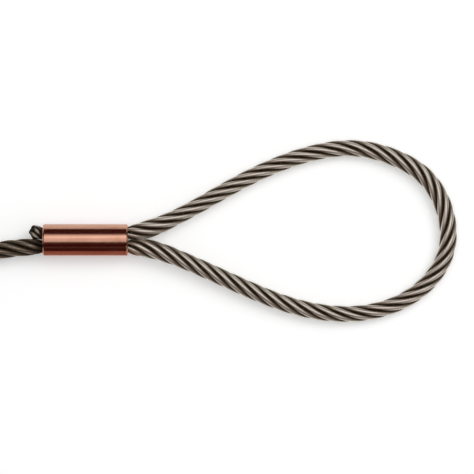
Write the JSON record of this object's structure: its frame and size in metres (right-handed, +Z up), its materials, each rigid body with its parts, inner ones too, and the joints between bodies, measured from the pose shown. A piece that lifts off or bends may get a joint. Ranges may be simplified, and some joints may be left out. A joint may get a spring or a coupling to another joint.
{
  "type": "wire rope sling",
  "caption": "Wire rope sling with a soft eye at each end, each closed by a pressed copper ferrule, and the rope between them coiled and tied.",
  "frame": {"origin": "middle of the base of the whole sling, on the plane that it lies on", "axes": "+X along the sling towards eye A, +Z up from the plane that it lies on, +Y to the side of the cut end in ferrule A"},
  "size_m": [0.4404, 0.0732, 0.0144],
  "materials": {
    "copper": "polished copper, drawn along its axis, with brown tarnish in its reflections",
    "rope": "bare stranded steel wire, bright on the crowns and dark with dry lubricant in the valleys",
    "tie": "black nylon with a fine matte skin"
  },
  "bodies": {
    "coil_and_end_b": {"rope_coil": "rope", "lead_in": "rope", "lead_out": "rope", "ferrule_b": "copper", "dead_leg_b": "rope", "live_leg_b": "rope", "dead_end_b": "rope", "coil_tie_1": "tie", "coil_tie_2": "tie"},
    "end_a": {"ferrule_a": "copper", "dead_leg_a": "rope", "live_leg_a": "rope", "dead_end_a": "rope"},
    "loop_a": {"eye_a": "rope"},
    "loop_b": {"eye_b": "rope"}
  },
  "joints": [
    {"name": "standing_bend", "type": "hinge", "parent": "coil_and_end_b", "child": "end_a", "pos_m": [0.03645, -0.00819, 0.00536], "axis": [0, -1, 0], "range_deg": [0, 60], "stiffness_Nm_per_rad": 2.5},
    {"name": "eye_a_bend", "type": "hinge", "parent": "end_a", "child": "loop_a", "pos_m": [0.10345, -0.00357, 0.00591], "axis": [0, -1, 0], "range_deg": [0, 50], "stiffness_Nm_per_rad": 2.5},
    {"name": "eye_b_bend", "type": "hinge", "parent": "coil_and_end_b", "child": "loop_b", "pos_m": [-0.10476, -0.0131, 0.00591], "axis": [0.225, 0.9744, 0], "range_deg": [0, 50], "stiffness_Nm_per_rad": 2.5}
  ]
}
